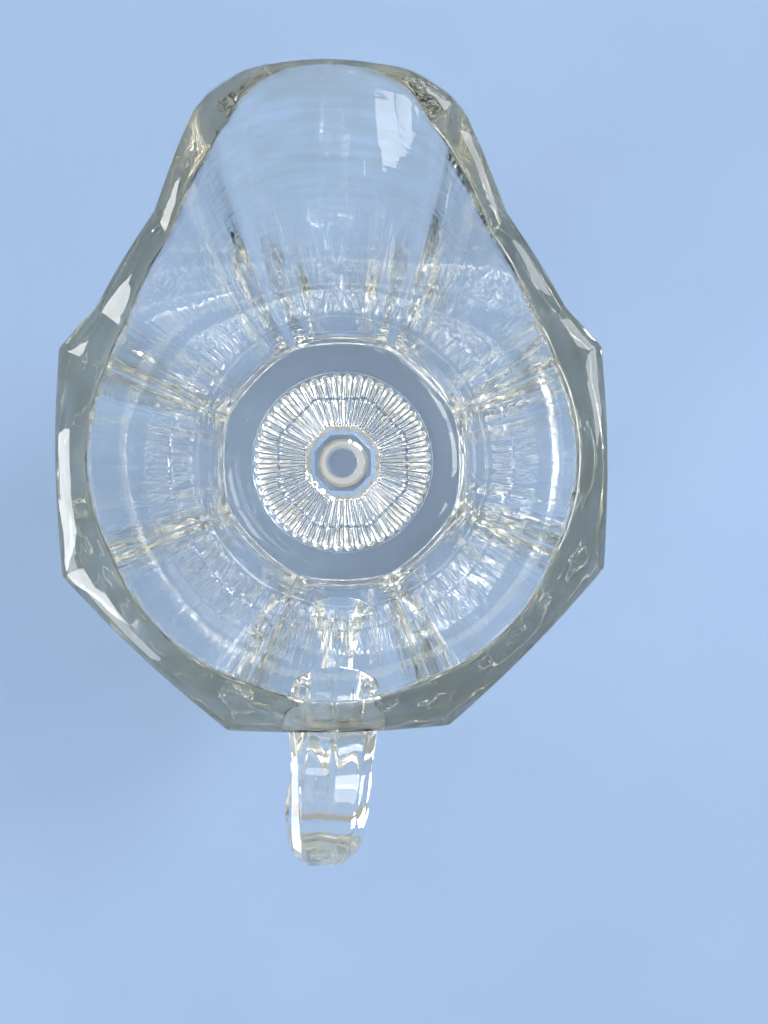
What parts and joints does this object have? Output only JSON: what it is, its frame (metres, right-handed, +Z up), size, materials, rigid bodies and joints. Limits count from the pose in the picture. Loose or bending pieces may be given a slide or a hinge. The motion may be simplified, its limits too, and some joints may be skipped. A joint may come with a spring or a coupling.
{
  "type": "glass pitcher",
  "caption": "Clear pressed glass pitcher with flat panels, a scalloped rim, a pinched pouring spout, a rayed base and a faceted loop handle stuck on opposite the spout.",
  "frame": {"origin": "middle of the foot, on the table", "axes": "+Z up, +X towards the spout, -X towards the handle, +Y to the left for someone looking from the handle to the spout"},
  "size_m": [0.2298, 0.15, 0.204],
  "materials": {
    "body_glass": "clear colourless pressed glass, fire polished",
    "handle_glass": "clear colourless pressed glass, stuck on hot and fire polished"
  },
  "bodies": {
    "root": {"pressed_body": "body_glass", "stuck_handle": "handle_glass"}
  },
  "joints": []
}
